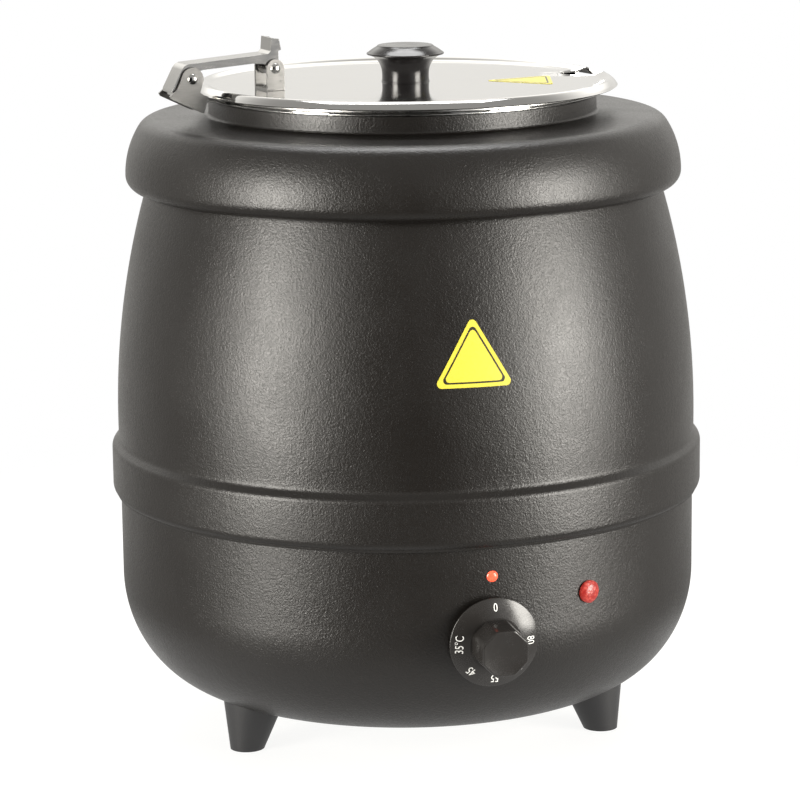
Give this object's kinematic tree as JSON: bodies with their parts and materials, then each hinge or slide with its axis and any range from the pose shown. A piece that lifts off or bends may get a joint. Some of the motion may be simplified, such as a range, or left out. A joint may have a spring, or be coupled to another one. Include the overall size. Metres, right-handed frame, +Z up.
{
  "type": "soup kettle",
  "caption": "Countertop electric soup kettle: painted barrel casing on feet, dial thermostat, lift-out pot in a water well, and a hinged polished lid with a ladle notch.",
  "frame": {"origin": "on the casing's vertical axis, in the plane the feet stand on, which is the centre of the object's box seen from above to within a millimetre or two", "axes": "+Z up; -Y is the front, where the dial is; the hinge is to the left and a little forward"},
  "size_m": [0.3404, 0.3728, 0.4002],
  "materials": {
    "casing_paint": "fine textured powder coat, satin",
    "polished_steel": "mirror polished",
    "pot_steel": "brushed",
    "knob_plastic": "gloss",
    "dial_plastic": "satin moulded",
    "foot_plastic": "matte",
    "lamp_lens": "gloss, translucent look",
    "insulation": "felted wool",
    "aluminium": "cast",
    "element_steel": "heat tinted",
    "zinc_plate": "zinc plated",
    "ceramic": "matte",
    "brass": "satin",
    "copper": "satin",
    "wire_sleeve": "matte",
    "gland_plastic": "matte",
    "label": "printed vinyl"
  },
  "bodies": {
    "casing": {"lower_bowl": "casing_paint", "upper_barrel": "casing_paint", "shoulder_ring": "casing_paint", "water_well": "pot_steel", "insulation_sleeve": "insulation", "heater_plate": "aluminium", "heating_element": "element_steel", "heater_clamp": "zinc_plate", "thermal_cutout": "ceramic", "thermostat_body": "ceramic", "thermostat_bulb": "copper", "thermostat_screws": "zinc_plate", "index_lamp": "lamp_lens", "pilot_lamp": "lamp_lens", "pilot_lamp_nut": "zinc_plate", "bottom_plate": "zinc_plate", "bottom_plate_screws": "zinc_plate", "foot_left": "foot_plastic", "foot_right": "foot_plastic", "foot_rear": "foot_plastic", "foot_screws": "zinc_plate", "foot_nuts": "zinc_plate", "terminal_block": "ceramic", "earth_stud": "brass", "cable_gland": "gland_plastic", "gland_cap": "gland_plastic", "gland_nut": "gland_plastic", "internal_wires": "wire_sleeve", "front_sticker": "label"},
    "dial": {"dial_skirt": "dial_plastic", "dial_grip": "dial_plastic", "thermostat_shaft": "zinc_plate"},
    "pot": {"soup_pot": "pot_steel"},
    "lid_ring_assembly": {"lid_ring": "polished_steel", "hinge_bracket": "polished_steel", "arm_pin": "polished_steel"},
    "arm": {"hinge_arm": "polished_steel"},
    "lid": {"lid_panel": "polished_steel", "lid_locating_ring": "pot_steel", "lid_bracket": "polished_steel", "lid_bracket_rivets": "polished_steel", "lid_pin": "polished_steel", "lid_knob": "knob_plastic", "knob_screw": "zinc_plate", "knob_washer": "zinc_plate", "lid_sticker": "label"}
  },
  "joints": [
    {"name": "dial_turn", "type": "hinge", "parent": "casing", "child": "dial", "pos_m": [0.04575, -0.16061, 0.086], "axis": [0.2736, -0.9604, -0.0523], "range_deg": [-280, 0]},
    {"name": "pot_lift", "type": "slide", "parent": "casing", "child": "pot", "axis": [0, 0, 1], "range_m": [0, 0.29]},
    {"name": "lid_ring_lift", "type": "slide", "parent": "pot", "child": "lid_ring_assembly", "axis": [0, 0, 1], "range_m": [0, 0.1]},
    {"name": "arm_swing", "type": "hinge", "parent": "lid_ring_assembly", "child": "arm", "pos_m": [-0.11921, -0.0506, 0.38], "axis": [0.3907, -0.9205, 0], "range_deg": [0, 75]},
    {"name": "lid_tilt", "type": "hinge", "parent": "arm", "child": "lid", "pos_m": [-0.07419, -0.03149, 0.3834], "axis": [0.3907, -0.9205, 0], "range_deg": [0, 22.5]}
  ],
  "couplings": [
    {"joint": "lid_tilt", "follows": "arm_swing", "ratio": 0.3}
  ]
}
